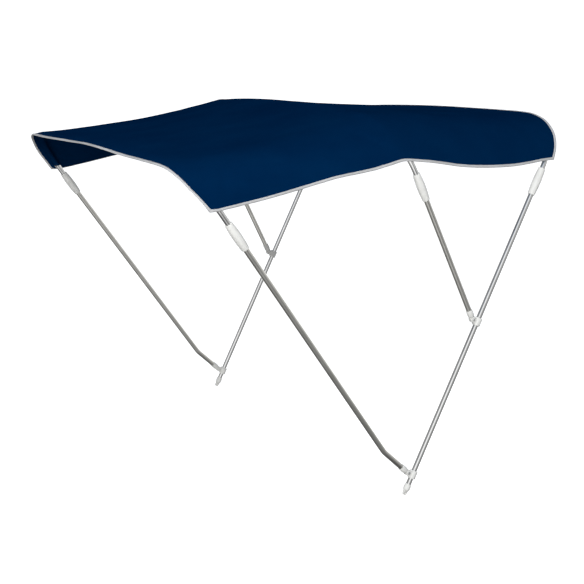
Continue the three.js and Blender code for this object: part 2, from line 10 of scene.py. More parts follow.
import bmesh
import bpy
import numpy as np
from mathutils import Matrix, Vector, noise


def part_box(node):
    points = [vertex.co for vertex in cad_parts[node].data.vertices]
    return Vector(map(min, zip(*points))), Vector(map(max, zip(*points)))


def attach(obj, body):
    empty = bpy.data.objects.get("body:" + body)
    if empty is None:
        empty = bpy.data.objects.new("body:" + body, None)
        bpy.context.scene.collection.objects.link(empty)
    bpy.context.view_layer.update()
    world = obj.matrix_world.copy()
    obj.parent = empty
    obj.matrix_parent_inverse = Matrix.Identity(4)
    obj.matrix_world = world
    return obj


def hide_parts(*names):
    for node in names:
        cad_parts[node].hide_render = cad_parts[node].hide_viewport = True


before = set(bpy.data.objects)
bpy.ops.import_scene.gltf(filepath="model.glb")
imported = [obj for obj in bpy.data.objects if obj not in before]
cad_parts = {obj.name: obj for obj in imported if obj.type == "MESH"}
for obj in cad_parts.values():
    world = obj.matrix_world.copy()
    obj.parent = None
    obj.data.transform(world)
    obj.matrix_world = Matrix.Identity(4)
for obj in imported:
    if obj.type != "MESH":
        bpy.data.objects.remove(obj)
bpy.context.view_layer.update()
MM = 0.001

# %% [markdown]
# ## The camera
# The photograph was taken from the front left, a little above the hems. A long lens keeps the two sides of the
# frame nearly parallel, so the camera stands five metres away and its lens is 68 mm on a 36 mm sensor.

# %% Camera at the photograph's place
CAMERA_AT = Vector((-2.460, -4.030, 1.751))
AZIMUTH, ELEVATION = math.radians(-31.06), math.radians(13.17)
LENS, SENSOR = 68.17, 36  # mm
towards_camera = Vector((math.sin(AZIMUTH) * math.cos(ELEVATION), -math.cos(AZIMUTH) * math.cos(ELEVATION),
                         math.sin(ELEVATION)))
camera_data = bpy.data.cameras.new("photo_camera")
camera_data.lens = LENS
camera_data.sensor_width = SENSOR
camera = bpy.data.objects.new("photo_camera", camera_data)
bpy.context.collection.objects.link(camera)
camera.location = CAMERA_AT
camera.rotation_euler = towards_camera.to_track_quat("Z", "Y").to_euler()
bpy.context.scene.camera = camera
bpy.context.scene.view_settings.view_transform = "Standard"
print("camera looks along", [round(c, 3) for c in -towards_camera])

# %% [markdown]
# ## Working habits
# An operator acts on all that is selected, and the loaded solids start selected. So each step first selects
# the one object that it works on. A modifier is applied as soon as it has done its work, which leaves a plain
# mesh. Each finished piece then gets its body and its finish, and the solids that it stands for are hidden.

# %% Helpers for selecting, applying and finishing
made = []


def select_only(obj):
    bpy.ops.object.select_all(action="DESELECT")
    obj.select_set(True)
    bpy.context.view_layer.objects.active = obj


def added(operator, name="tool", **settings):
    """Adds a primitive with nothing else selected."""
    bpy.ops.object.select_all(action="DESELECT")
    operator(**settings)
    bpy.context.object.name = name
    return bpy.context.object


def add_modifier(obj, kind, **settings):
    modifier = obj.modifiers.new(kind.lower(), kind)
    for name, value in settings.items():
        setattr(modifier, name, value)
    select_only(obj)
    bpy.ops.object.modifier_apply(modifier=modifier.name)


def smooth(obj, degrees=35):
    select_only(obj)
    bpy.ops.object.shade_smooth_by_angle(angle=math.radians(degrees))


def close_up(obj):
    """Joins corners that meet, and points every face outwards."""
    select_only(obj)
    bpy.ops.object.mode_set(mode="EDIT")
    bpy.ops.mesh.select_all(action="SELECT")
    bpy.ops.mesh.remove_doubles(threshold=0.01 * MM)
    bpy.ops.mesh.normals_make_consistent(inside=False)
    bpy.ops.object.mode_set(mode="OBJECT")


def settle(obj, material, slot, *nodes):
    """Gives a finished piece its material and its body, and hides the solids that it stands for. slot is not
    used.
    """
    obj.data.materials.clear()
    obj.data.materials.append(material)
    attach(obj, "root")
    if nodes:
        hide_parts(*nodes)
    made.append(obj)
    return obj


def mesh_object(name, points, faces):
    mesh = bpy.data.meshes.new(name)
    mesh.from_pydata([tuple(p) for p in points], [], faces)
    obj = bpy.data.objects.new(name, mesh)
    bpy.context.collection.objects.link(obj)
    return obj

# %% [markdown]
# ## Materials
# Each finish is a node material. What is the same all over is set on the shader itself, and what varies comes
# from noise and wave textures. Patterns that follow a sheet or a tube read its own UV map, which is in metres.

# %% A small helper for node materials
def new_material(name, **sockets):
    material = bpy.data.materials.new(name)
    material.use_nodes = True
    shader = material.node_tree.nodes["Principled BSDF"]
    for socket, value in sockets.items():
        shader.inputs[socket.replace("_", " ")].default_value = value
    return material, shader


def add_node(owner, kind, inputs=None, **settings):
    """Adds a node to a material or a world. An input is a plain value, or another node's output."""
    node = owner.node_tree.nodes.new(kind)
    for name, value in settings.items():
        setattr(node, name, value)
    for name, value in (inputs or {}).items():
        if isinstance(value, bpy.types.NodeSocket):
            owner.node_tree.links.new(value, node.inputs[name])
        else:
            node.inputs[name].default_value = value
    return node


def connect(owner, output, shader, socket):
    owner.node_tree.links.new(output, shader.inputs[socket])


def mapped(material, space, scale):
    """Object or UV coordinates, times a scale, which is one number or one for each axis."""
    place = add_node(material, "ShaderNodeTexCoord")
    scale = scale if isinstance(scale, tuple) else (scale, scale, scale)
    return add_node(material, "ShaderNodeMapping", {"Vector": place.outputs[space], "Scale": scale}).outputs[0]


def noise_on(material, space, per_metre, **inputs):
    inputs = {"Vector": mapped(material, space, per_metre), "Scale": 1.0, **inputs}
    return add_node(material, "ShaderNodeTexNoise", inputs).outputs["Fac"]


def bands_on(material, axis, per_metre, **inputs):
    """Wave bands that cross one axis of a piece's UV map."""
    scale = (per_metre, 1, 1) if axis == "X" else (1, per_metre, 1)
    inputs = {"Vector": mapped(material, "UV", scale), "Scale": 0.32, **inputs}
    return add_node(material, "ShaderNodeTexWave", inputs, bands_direction=axis).outputs["Fac"]


def product(material, a, b):
    return add_node(material, "ShaderNodeMath", {0: a, 1: b}, operation="MULTIPLY").outputs[0]


def spread(material, value, low, high):
    """Turns a 0 to 1 value into one from low to high."""
    return add_node(material, "ShaderNodeMapRange", {"Value": value, "To Min": low, "To Max": high}).outputs[0]


def vary(material, shader, value, dark, light, roughness=None):
    """Spreads a value over two colours and, where it is given, over a range of roughness."""
    ramp = add_node(material, "ShaderNodeValToRGB", {"Fac": value})
    for element, place, colour in zip(ramp.color_ramp.elements, (0.3, 0.7), (dark, light)):
        element.position = place
        element.color = (*colour, 1)
    connect(material, ramp.outputs[0], shader, "Base Color")
    if roughness:
        connect(material, spread(material, value, *roughness), shader, "Roughness")


def add_bump(material, shader, height, strength, distance):
    bump = add_node(material, "ShaderNodeBump", {"Height": height, "Strength": strength, "Distance": distance})
    connect(material, bump.outputs[0], shader, "Normal")

# %% [markdown]
# The canopy is woven acrylic canvas, dyed in the yarn and matt. Its threads are under a millimetre apart, so
# two crossed wave textures make the weave as a fine bump. From a few steps away it looks even, with faint
# cloudy patches where it is a little more or less stretched. It has no gloss, and only a trace of blue sheen
# where it is seen at a flat angle.

# %% Navy canvas
canvas, canvas_shader = new_material("navy_canvas", Specular_IOR_Level=0.0, Sheen_Weight=0.006,
                                     Sheen_Roughness=0.5, Sheen_Tint=(0.0, 0.3, 1.0, 1))
clouds = noise_on(canvas, "UV", (3.2, 4.5, 1), Detail=3.0)
vary(canvas, canvas_shader, clouds, (0.0001, 0.0161, 0.063), (0.0002, 0.0214, 0.077), (0.78, 0.92))
warp = bands_on(canvas, "X", 1100, Distortion=0.6, Detail=1.0)
weft = bands_on(canvas, "Y", 1100, Distortion=0.6, Detail=1.0)
add_bump(canvas, canvas_shader, product(canvas, warp, weft), 0.5, 0.3 * MM)
print("canvas ready")

# %% [markdown]
# The edge tape is a pale grey woven tape with fine ribs across it. Its grey varies a little, as tape does that
# has been handled.

# %% Pale edge tape
tape_cloth, tape_shader = new_material("pale_tape", Roughness=0.7, Sheen_Weight=0.1, Specular_IOR_Level=0.3)
handled = noise_on(tape_cloth, "Object", 9, Detail=4.0)
vary(tape_cloth, tape_shader, handled, (0.54, 0.54, 0.54), (0.65, 0.65, 0.66))
add_bump(tape_cloth, tape_shader, bands_on(tape_cloth, "X", 700, Distortion=0.3), 0.5, 0.3 * MM)

# %% [markdown]
# Two threads are used. The navy one is a shade away from the cloth, so it nearly disappears on it, and the grey
# one matches the tape. A very fine noise gives both their twist.

# %% Sewing threads
navy_thread, navy_shader = new_material("navy_thread", Base_Color=(0.0004, 0.018, 0.068, 1), Roughness=0.8,
                                        Specular_IOR_Level=0.05)
grey_thread, grey_shader = new_material("grey_thread", Base_Color=(0.60, 0.61, 0.62, 1), Roughness=0.55,
                                        Sheen_Weight=0.2)
for thread, shader in ((navy_thread, navy_shader), (grey_thread, grey_shader)):
    add_bump(thread, shader, noise_on(thread, "Object", 900), 0.4, 0.2 * MM)
print("tape and threads ready")

# %% [markdown]
# Two finishes of aluminium tube show. The main legs and the bows are polished and bright. The folding legs
# are satin anodised, so they blur what they reflect, and their darker, warmer grey is painted shade. Both are
# drawn through a die, which leaves fine lines along them, and handling leaves faint cloudy marks.

# %% Aluminium tubes
def aluminium(name, dark, light, roughness, line_strength):
    tube, shader = new_material(name, Metallic=1.0)
    drawn = noise_on(tube, "UV", (6, 2600, 1), Detail=2.0)
    marks = noise_on(tube, "Object", 14, Detail=5.0)
    vary(tube, shader, marks, dark, light)
    worn = spread(tube, product(tube, drawn, marks), roughness - 0.06, roughness + 0.1)
    connect(tube, worn, shader, "Roughness")
    add_bump(tube, shader, drawn, line_strength, 0.1 * MM)
    return tube


bright_metal = aluminium("bright_aluminium", (0.83, 0.835, 0.83), (0.93, 0.93, 0.925), 0.18, 0.15)
# The satin tubes' darker, warmer grey is painted shade; their higher roughness is the satin finish's own.
satin_shaded_metal = aluminium("satin_shaded_aluminium", (0.74, 0.73, 0.685), (0.84, 0.83, 0.785), 0.32, 0.3)
print("aluminium ready")

# %% [markdown]
# The fittings are moulded in white nylon, which is smooth but not glossy and slightly warm. The screws and
# bolts are stainless steel.

# %% White nylon and stainless steel
white_nylon, nylon_shader = new_material("white_nylon", Specular_IOR_Level=0.45)
haze = noise_on(white_nylon, "Object", 60, Detail=4.0)
vary(white_nylon, nylon_shader, haze, (0.90, 0.90, 0.865), (0.95, 0.95, 0.92), (0.34, 0.5))
add_bump(white_nylon, nylon_shader, noise_on(white_nylon, "Object", 1400), 0.12, 0.1 * MM)

stainless, steel_shader = new_material("stainless_steel", Metallic=1.0, Base_Color=(0.9, 0.9, 0.88, 1))
scuffs = noise_on(stainless, "Object", 400, Detail=3.0)
connect(stainless, spread(stainless, scuffs, 0.42, 0.6), steel_shader, "Roughness")
print("nylon and steel ready")

# %% [markdown]
# ## The tubes
# Each tube is a round pipe of 22 mm along a centre line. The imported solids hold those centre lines: a tube's
# skin is a stack of rings, and the middle of each ring is a point of the line. Walking from the lowest ring to
# its unused neighbours gives the rings in order. A curve with a round bevel then makes a smoother pipe than
# the solid's twelve sides, and it takes the solid's place.

# %% Read a tube's centre line from its solid
TUBE_R = 11 * MM
RING_SIDES = 12  # the corners in one ring of a solid tube
LEAN = {"front": -35.0, "mid": -26.5, "main": 27.4}  # how far each bow's side leans to the rear, in degrees
TOE_LEAN = -50.0  # the front leg's lowest part, below its bend, roughly


def merged_copy(node):
    """The solid's mesh with its loose triangles joined, as a bmesh."""
    mesh = bmesh.new()
    mesh.from_mesh(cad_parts[node].data)
    mesh.transform(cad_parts[node].matrix_world)
    bmesh.ops.remove_doubles(mesh, verts=mesh.verts, dist=0.02 * MM)
    return mesh


def neighbours(vertex):
    return [edge.other_vert(vertex) for edge in vertex.link_edges]


def centre_line(node, lean):
    """The middles of a tube's rings, from its lowest end on the near side. lean is that end's, in degrees."""
    mesh = merged_copy(node)
    on_rings = [v for v in mesh.verts  # leaves out the middles of the end caps
                if (sum((n.co for n in neighbours(v)), Vector()) / len(v.link_edges) - v.co).length > 0.5 * MM]
    upwards = Vector((math.sin(math.radians(lean)), 0, math.cos(math.radians(lean))))
    low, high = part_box(node)
    is_bow = high[1] - low[1] > 0.1
    near_half = [v for v in on_rings if not is_bow or v.co.y < (low[1] + high[1]) / 2]
    ring = sorted(near_half, key=lambda v: v.co.dot(upwards))[:RING_SIDES]
    unused, line = set(on_rings) - set(ring), []
    while ring:
        line.append(sum((v.co for v in ring), Vector()) / len(ring))
        beside = {n for v in ring for n in neighbours(v)}
        ring = [v for v in on_rings if v in beside and v in unused]
        unused -= set(ring)
    mesh.free()
    return line


bow_lines = {name: centre_line(f"bow_{name}", lean) for name, lean in LEAN.items()}
print("rings in the bows:", {name: len(line) for name, line in bow_lines.items()})

# %% [markdown]
# The pipe's UV map is stretched to metres, which keeps the drawn lines in the metal equally fine on long and
# short tubes.

# %% A round tube along a centre line
def round_tube(name, line):
    tube = added(bpy.ops.curve.primitive_bezier_curve_add, name)
    spline = tube.data.splines[0]
    spline.bezier_points.add(len(line) - 2)
    for point, place in zip(spline.bezier_points, line):
        point.co = place
        point.handle_left_type = point.handle_right_type = "VECTOR" if len(line) == 2 else "AUTO"
    tube.data.resolution_u = 4
    tube.data.bevel_depth = TUBE_R
    tube.data.bevel_resolution = 10
    tube.data.use_fill_caps = True
    bpy.ops.object.convert(target="MESH")
    return bpy.context.object


def length_uv(obj, line):
    """Sets a UV map in metres: along the tube, and round it."""
    length = sum((b - a).length for a, b in zip(line, line[1:]))
    for corner in obj.data.uv_layers[0].data:
        corner.uv = (corner.uv[0] * length, corner.uv[1] * 2 * math.pi * TUBE_R)


def make_tube(name, node, line, metal, slot):
    tube = round_tube(name, line)
    length_uv(tube, line)
    smooth(tube, 50)
    settle(tube, metal, slot, node)
    print(name, len(line), "rings,", len(tube.data.polygons), "faces")


for name, line in bow_lines.items():
    make_tube(f"bow_tube_{name}", f"bow_{name}", line, bright_metal, "bright_tube")

# %% [markdown]
# The main legs are straight and bright. The middle legs and the front legs are satin, and each front leg bends
# forward near its toe.

# %% The legs
LEGS = {
    "main": (LEAN["main"], bright_metal, "bright_tube"),
    "mid": (LEAN["mid"], satin_shaded_metal, "satin_tube"),
    "front": (TOE_LEAN, satin_shaded_metal, "satin_tube"),
}
for side in ("near", "far"):
    for leg, (lean, metal, slot) in LEGS.items():
        node = f"leg_{leg}_{side}"
        make_tube(f"leg_tube_{leg}_{side}", node, centre_line(node, lean), metal, slot)

# %% [markdown]
# ## The canopy
# The real canopy is one cloth with its two side flaps, cut and sewn so that it stretches tight over the bows.
# A cloth simulation would only pull it towards the shape that it already has, so the sheet is made
# from the solid's outer face. That face is a grid: rows run across the boat from hem to hem, and columns run
# along it. The grid is read row by row, starting at the near front corner.

# %% Read the cloth's grid from its solid
CLOTH_HALF = 1 * MM  # the solid is 2 mm thick, and the sheet lies on its middle
UNDER_CANOPY = Vector((-0.08, 0, 1.1))  # a point that the cloth's inner face looks at


def edge_neighbours(vertex):
    return [edge.other_vert(vertex) for edge in vertex.link_edges if edge.is_boundary]


def turns_sharply(vertex):
    ways = [(v.co - vertex.co).normalized() for v in edge_neighbours(vertex)]
    return len(ways) == 2 and ways[0].dot(ways[1]) > -0.85


def cloth_grid():
    """The grid's points, row by row. The solid's triangles lean away from the cloth's middle, so only a row's
    middle point has a single neighbour in the next row. The rest follow."""
    mesh = merged_copy("canopy_cloth")
    rim = [f for f in mesh.faces if min(e.calc_length() for e in f.edges) < 3 * MM]
    bmesh.ops.delete(mesh, geom=rim, context="FACES")
    inner = [f for f in mesh.faces if f.normal.dot(f.calc_center_median() - UNDER_CANOPY) < 0]
    bmesh.ops.delete(mesh, geom=inner, context="FACES")
    corners = [v for v in mesh.verts if turns_sharply(v)]
    vertex = min(corners, key=lambda v: v.co.x + 0.2 * v.co.y)
    row = [vertex]
    vertex = min(edge_neighbours(vertex), key=lambda v: v.co.x)
    while True:
        row.append(vertex)
        if vertex in corners:
            break
        vertex = next(v for v in edge_neighbours(vertex) if v not in row)
    rows, used, half = [], set(), len(row) // 2
    while row:
        rows.append([v.co - v.normal * CLOTH_HALF for v in row])
        used |= set(row)
        following = {}
        for j in [half, *range(half - 1, -1, -1), *range(half + 1, len(row))]:
            free = [n for n in neighbours(row[j]) if n not in used and n not in following.values()]
            following.update({j: free[0]} if free else {})
        row = [following[j] for j in sorted(following)]
    mesh.free()
    return np.array([[list(p) for p in r] for r in rows])


grid = cloth_grid()
print("cloth grid:", grid.shape)

# %% [markdown]
# The solid's grid is coarse. A smooth curve through its points, first along the boat and then across it,
# gives a fine grid that still passes through every point of the coarse one. So the sheet stays off the bows by
# as much as the solid does.

# %% Refine the grid with smooth curves through its points
def travelled(points):
    """How far each point lies along its line, in metres. For lines side by side it is their mean."""
    steps = np.linalg.norm(np.diff(points, axis=0), axis=-1).reshape(len(points) - 1, -1)
    return np.concatenate([[0], np.cumsum(steps.mean(axis=1))])


def finer(knots, step):
    return np.concatenate([np.linspace(a, b, max(1, round((b - a) / step)), endpoint=False)
                           for a, b in zip(knots, knots[1:])] + [knots[-1:]])


def curve_through(points, knots, at):
    """A cubic curve through each line of points, read at new places."""
    gaps = np.diff(knots)
    slopes = np.diff(points, axis=0) / gaps[:, None, None]
    inner = (gaps[1:, None, None] * slopes[:-1] + gaps[:-1, None, None] * slopes[1:]) / (
        gaps[1:] + gaps[:-1])[:, None, None]
    ends = np.concatenate([slopes[:1], inner, slopes[-1:]])
    k = np.clip(np.searchsorted(knots, at, side="right") - 1, 0, len(gaps) - 1)
    t = ((at - knots[k]) / gaps[k])[:, None, None]
    width = gaps[k][:, None, None]
    return ((2 * t**3 - 3 * t**2 + 1) * points[k] + (t**3 - 2 * t**2 + t) * width * ends[k]
            + (3 * t**2 - 2 * t**3) * points[k + 1] + (t**3 - t**2) * width * ends[k + 1])


along_knots = travelled(grid)
across_knots = travelled(grid.transpose(1, 0, 2))
ROW_STEP, COLUMN_STEP = 13 * MM, 21 * MM  # about how far apart the fine grid's rows and columns lie
along = finer(along_knots, ROW_STEP)
across = finer(across_knots, COLUMN_STEP)
fine = curve_through(grid, along_knots, along)
fine = curve_through(fine.transpose(1, 0, 2), across_knots, across).transpose(1, 0, 2)
print("fine grid:", fine.shape, "cut size:", round(across[-1], 3), "by", round(along[-1], 3), "m")


def unit(vectors):
    return vectors / np.linalg.norm(vectors, axis=-1, keepdims=True)


def normals_of(points):
    return unit(np.cross(np.gradient(points, axis=0), np.gradient(points, axis=1)))

# %% [markdown]
# Stretched cloth isn't perfectly even. It draws in along each row of stitches, puckers a little beside the
# taped edge, and shows long shallow folds that start where a bow leaves the hem. Between the bows it is
# slightly wavy. All of this is a few millimetres at most, and it fades out over the bows, which hold the cloth.

# %% Soft folds, puckers and waves
GRID_ROWS = {"front": 3, "mid": 16, "main": 29}  # the coarse grid's row over each bow
BOW_ROWS = {name: along_knots[row] for name, row in GRID_ROWS.items()}
from_bow = np.min([abs(along - place) for place in BOW_ROWS.values()], axis=0)[:, None]
from_hem = np.minimum(across, across[-1] - across)[None, :]
from_end = np.minimum(along, along[-1] - along)[:, None]
print("bows at", {name: round(float(v), 3) for name, v in BOW_ROWS.items()})

SEAM_OFF = 17 * MM  # from a bow's middle to each seam of its pocket
FOLD_START = 18 * MM  # from a bow's middle to where a fold leaves the hem
PUCKER_REACH = 0.035  # how far in from an edge the puckers fade, in metres

# bow, side, how far the fold leans along the boat as it climbs, depth in mm (down is negative), width in mm
FOLDS = [
    ("front", "near", 0.55, -1.6, 22), ("front", "near", 0.95, 1.1, 26), ("mid", "near", -0.75, -1.8, 24),
    ("mid", "near", -0.42, 1.2, 20), ("mid", "near", 0.6, -1.5, 22), ("mid", "near", 1.0, 1.0, 30),
    ("main", "near", -0.6, -1.6, 24), ("main", "near", -1.1, 0.9, 26), ("front", "far", 0.7, -1.3, 24),
    ("mid", "far", -0.6, -1.6, 26), ("mid", "far", 0.8, -1.2, 22), ("main", "far", -0.8, -1.4, 24),
]


def step_up(value, low, high):
    t = np.clip((value - low) / (high - low), 0, 1)
    return t * t * (3 - 2 * t)


def noise_grid(scale_along, scale_across, seed):
    return np.array([[noise.noise(Vector((a * scale_along, b * scale_across, seed))) for b in across]
                     for a in along])


relief = np.zeros(fine.shape[:2])
for bow, side, slope, depth, width in FOLDS:
    climb = across if side == "near" else across[-1] - across
    middle = BOW_ROWS[bow] + np.sign(slope) * FOLD_START + slope * climb
    spread_width = width * MM * (0.5 + 2.2 * climb)
    shape = np.exp(-(((along[:, None] - middle[None, :]) / spread_width[None, :]) ** 2))
    fade = step_up(climb, 0.0, 0.05) * (1 - step_up(climb, 0.12, 0.42))
    relief += depth * MM * shape * fade[None, :]
waves = noise_grid(4.2, 3.1, 1.7) * 3.2 + noise_grid(2.2, 9.0, 5.2) * 1.6
relief += waves * MM * step_up(from_end, 0.0, 0.12) * step_up(from_hem, 0.0, 0.12)
puckers = (noise_grid(30.0, 6.0, 9.4) * np.exp(-from_hem / PUCKER_REACH)
           + noise_grid(6.0, 30.0, 3.3) * np.exp(-from_end / PUCKER_REACH))
relief += puckers * 1.5 * MM
relief *= step_up(from_bow, 0.012, 0.09)
for place in BOW_ROWS.values():
    for seam_place in (place - SEAM_OFF, place + SEAM_OFF):
        relief -= 0.5 * MM * np.exp(-(((along - seam_place) / (4 * MM)) ** 2))[:, None]
sheet = fine + normals_of(fine) * relief[..., None]
print("relief from", round(float(relief.min() / MM), 1), "to", round(float(relief.max() / MM), 1), "mm")

# %% [markdown]
# The cloth runs on past the front and rear bows, and nothing holds it there. So the front edge hangs a little
# lower than the bow, most in the middle of each half, and reaches forward beside the near flap. The rear edge
# stands out a little at the near shoulder. The near hem runs a few millimetres higher in some places, which
# gives it the slight wave that it has in the photograph.

# %% Let the free edges hang
DROOP = 1.4  # how soon an overhang gives way: 1 is evenly, and more is mostly near its edge
HEM_BAND = 0.14  # how far up from the near hem the cloth follows the hem's shift, in metres
# place across in metres from the near hem, then the edge's shift along the boat and its shift up, in mm
FRONT_HANG = [
    (0.00, -13, -4), (0.07, -15, 3), (0.14, -14, 3), (0.22, -11, -3), (0.30, -5, -11), (0.38, -1, -12),
    (0.47, 0, -13), (0.56, 0, -14), (0.65, 0, -13), (0.74, 0, -9.5), (0.83, 0, -7), (0.92, 0, -6),
    (1.01, 0, -8.5), (1.10, 0, -10), (1.19, 0, -11), (1.28, 0, -12), (1.37, 0, -11), (1.46, 0, -8.5),
    (1.54, 0, -4), (1.62, 0, 0),
]
REAR_HANG = [
    (0.00, 0, 0), (0.05, 5, 0), (0.12, 10, 2), (0.22, 10, 4), (0.32, 6, 4), (0.45, 1, 3), (0.65, 0, 0),
]
# place along in metres from the front edge, then the near hem's shift up, in mm
NEAR_HEM_LIFT = [
    (0.00, 5.5), (0.06, 9.0), (0.13, 7.5), (0.21, 4.5), (0.30, 2.5), (0.38, 2.5), (0.45, 4.0), (0.51, 6.5),
    (0.57, 5.0), (0.63, 2.0), (0.69, 0.5), (0.76, 3.0), (0.81, 4.0), (0.87, 1.5), (0.93, 0.0),
]


def hang(table, freedom):
    """Shifts the rows of an overhang. freedom is 1 at the free edge and 0 over the bow."""
    places, shift_x, shift_z = np.array(table).T
    shift = np.stack([np.interp(across, places, shift_x), 0 * across, np.interp(across, places, shift_z)],
                     axis=-1)
    return freedom[:, None, None] * shift[None] * MM


sheet = sheet + hang(FRONT_HANG, np.clip(1 - along / BOW_ROWS["front"], 0, 1) ** DROOP)
past_main = (along - BOW_ROWS["main"]) / (along[-1] - BOW_ROWS["main"])
sheet = sheet + hang(REAR_HANG, np.clip(past_main, 0, 1) ** DROOP)
hem_lift = np.interp(along, *np.array(NEAR_HEM_LIFT).T)
sheet[..., 2] += MM * hem_lift[:, None] * (1 - step_up(across, 0.0, HEM_BAND))[None, :]
sheet_normals = normals_of(sheet)
print("front edge from", sheet[0, :, 2].min().round(3), "to", sheet[0, :, 2].max().round(3), "m high")

# %% [markdown]
# The grid becomes a mesh of squares. Its UV map holds each point's way along and across the cloth in metres, as
# if it were laid flat, and its thickness is added last. The tubes don't mirror the cloth, because the
# photograph shows no navy streak in them.

# %% The sheet as a mesh, with a UV map in metres and its thickness
SHEET_THICK = 1.6 * MM


def grid_object(name, points, u, v, closed=False):
    """A mesh from a grid of points. u and v are each row's and column's place in metres for its UV map."""
    rows, columns = points.shape[:2]
    faces = []
    for i in range(rows if closed else rows - 1):
        for j in range(columns - 1):
            a, b = i * columns + j, (i + 1) % rows * columns + j
            faces.append((a, b, b + 1, a + 1))
    obj = mesh_object(name, points.reshape(-1, 3), faces)
    layer = obj.data.uv_layers.new(name="UVMap")
    for polygon in obj.data.polygons:
        i, j = divmod(polygon.vertices[0], columns)
        for loop, (di, dj) in zip(polygon.loop_indices, ((0, 0), (1, 0), (1, 1), (0, 1))):
            layer.data[loop].uv = (u[i + di], v[j + dj])
    return obj


canopy = grid_object("canopy_sheet", sheet, along, across)
add_modifier(canopy, "SOLIDIFY", thickness=SHEET_THICK, offset=0)
smooth(canopy, 60)
settle(canopy, canvas, "cloth", "canopy_cloth")
canopy.visible_glossy = False
print("canopy:", len(canopy.data.polygons), "faces")

# %% [markdown]
# ## The edge tape
# A pale tape is folded over the cloth's edge all the way round and sewn through. It is fuller than flat,
# because it wraps the turned edge of the cloth, so its outside is a soft bulge about 11 mm wide, and its
# inside leg is narrower. Its section is swept round the four edges. Each point of the section lies a given
# way in from the edge and a given height off the cloth. At a corner the way in is measured from both edges,
# which gives a mitre.

# %% Points a given way in from an edge
MITRE = 24 * MM  # the first full ring of the tape's section after a corner
LAST_I, LAST_J = sheet.shape[0] - 1, sheet.shape[1] - 1


def index_at(line, distance):
    """How far along a line of points, counted in points, a distance from its start lies."""
    lengths = travelled(line)
    if distance < 0:
        return distance / lengths[1]
    return float(np.interp(distance, lengths, np.arange(len(line))))


def read_grid(values, i, j):
    """Reads a grid between its points, and a little past its edges."""
    a = int(np.clip(math.floor(i), 0, values.shape[0] - 2))
    b = int(np.clip(math.floor(j), 0, values.shape[1] - 2))
    s, t = i - a, j - b
    return ((1 - s) * (1 - t) * values[a, b] + s * (1 - t) * values[a + 1, b]
            + (1 - s) * t * values[a, b + 1] + s * t * values[a + 1, b + 1])


def way_in(i, j, edges, distance):
    """The grid place a distance in from an edge point. edges names its edge, or the two edges of a corner."""
    if "front" in edges:
        i = index_at(sheet[:, int(j)], distance)
    if "rear" in edges:
        i = LAST_I - index_at(sheet[::-1, int(j)], distance)
    row = sheet[int(np.clip(round(i), 0, LAST_I))]
    if "near" in edges:
        j = index_at(row, distance)
    if "far" in edges:
        j = LAST_J - index_at(row[::-1], distance)
    return i, j


def inside_of(places, margin):
    """The grid lines that keep a margin from both ends."""
    return [k for k, place in enumerate(places) if margin < place < places[-1] - margin]


near_side, end_side = inside_of(along, MITRE), inside_of(across, MITRE)
edge_stops = [  # each stop's grid place and its edge, or the two edges of a corner
    (0, 0, ("front", "near")), *((i, 0, ("near",)) for i in near_side),
    (LAST_I, 0, ("rear", "near")), *((LAST_I, j, ("rear",)) for j in end_side),
    (LAST_I, LAST_J, ("rear", "far")), *((i, LAST_J, ("far",)) for i in near_side[::-1]),
    (0, LAST_J, ("front", "far")), *((0, j, ("front",)) for j in end_side[::-1]),
]
print("stops round the edge:", len(edge_stops))

# %% [markdown]
# The section starts on top of the cloth, runs out round the fold and comes back below. Along the two side hems
# its inner leg is turned in, and its outer leg is narrower there and at the front, as in the photograph.

# %% Sweep the tape's section round the edge
# way in from the edge and height off the middle of the cloth, in mm
TAPE_SECTION = [
    (10.9, 0.9), (11.3, 1.4), (10.6, 2.1), (8.6, 2.8), (6.4, 3.2), (4.0, 3.0), (1.4, 2.2), (-0.7, 1.1),
    (-1.6, -0.1), (-1.2, -1.3), (0.6, -2.2), (3.6, -2.5), (7.0, -2.2), (8.2, -1.6), (8.0, -0.9),
    (-0.3, -0.9), (-0.3, 0.9),
]
TAPE_FOLD = 8  # the section's outermost point
OUTER_SHARE = {("front",): 0.76, ("near",): 0.84, ("far",): 0.84}
INNER_SHARE = {("near",): 0.2, ("far",): 0.2}


def lifted(i, j, height):
    return read_grid(sheet, i, j) + read_grid(sheet_normals, i, j) * height


def edge_point(stop, way, height):
    i, j = way_in(*stop, way)
    return lifted(i, j, height)


def section_at(edges):
    outer, inner = OUTER_SHARE.get(edges, 1), INNER_SHARE.get(edges, 1)
    return [(w * (outer if h > 0 else inner) if w > 0 else w, h) for w, h in TAPE_SECTION + TAPE_SECTION[:1]]


rings = np.array([[edge_point(stop, w * MM, h * MM) for w, h in section_at(stop[2])] for stop in edge_stops])
edge_line = rings[:, TAPE_FOLD]
tape_along = travelled(np.vstack([edge_line, edge_line[:1]]))
tape_round = np.linspace(0, 0.05, len(TAPE_SECTION) + 1)
tape = grid_object("edge_tape_sheet", rings, tape_along, tape_round, closed=True)
close_up(tape)
smooth(tape, 60)
settle(tape, tape_cloth, "edge_tape", "binding_front", "binding_rear", "binding_near", "binding_far")
print("tape:", round(float(tape_along[-1]), 2), "m long,", len(tape.data.polygons), "faces")

# %% [markdown]
# ## Stitches
# The tape is sewn through near its inner edge with pale thread. The pockets under the cloth are sewn with navy
# thread, which shows on top as a faint double line over each bow. A stitch is a tiny lens of eight faces, so
# that thousands of them stay light.

# %% Stitches along a line
STITCH = 4.6 * MM  # from one stitch to the next
TAPE_SEAM_IN, TAPE_SEAM_UP = 8.7 * MM, 2.68 * MM  # in from the edge, and up onto the tape's back


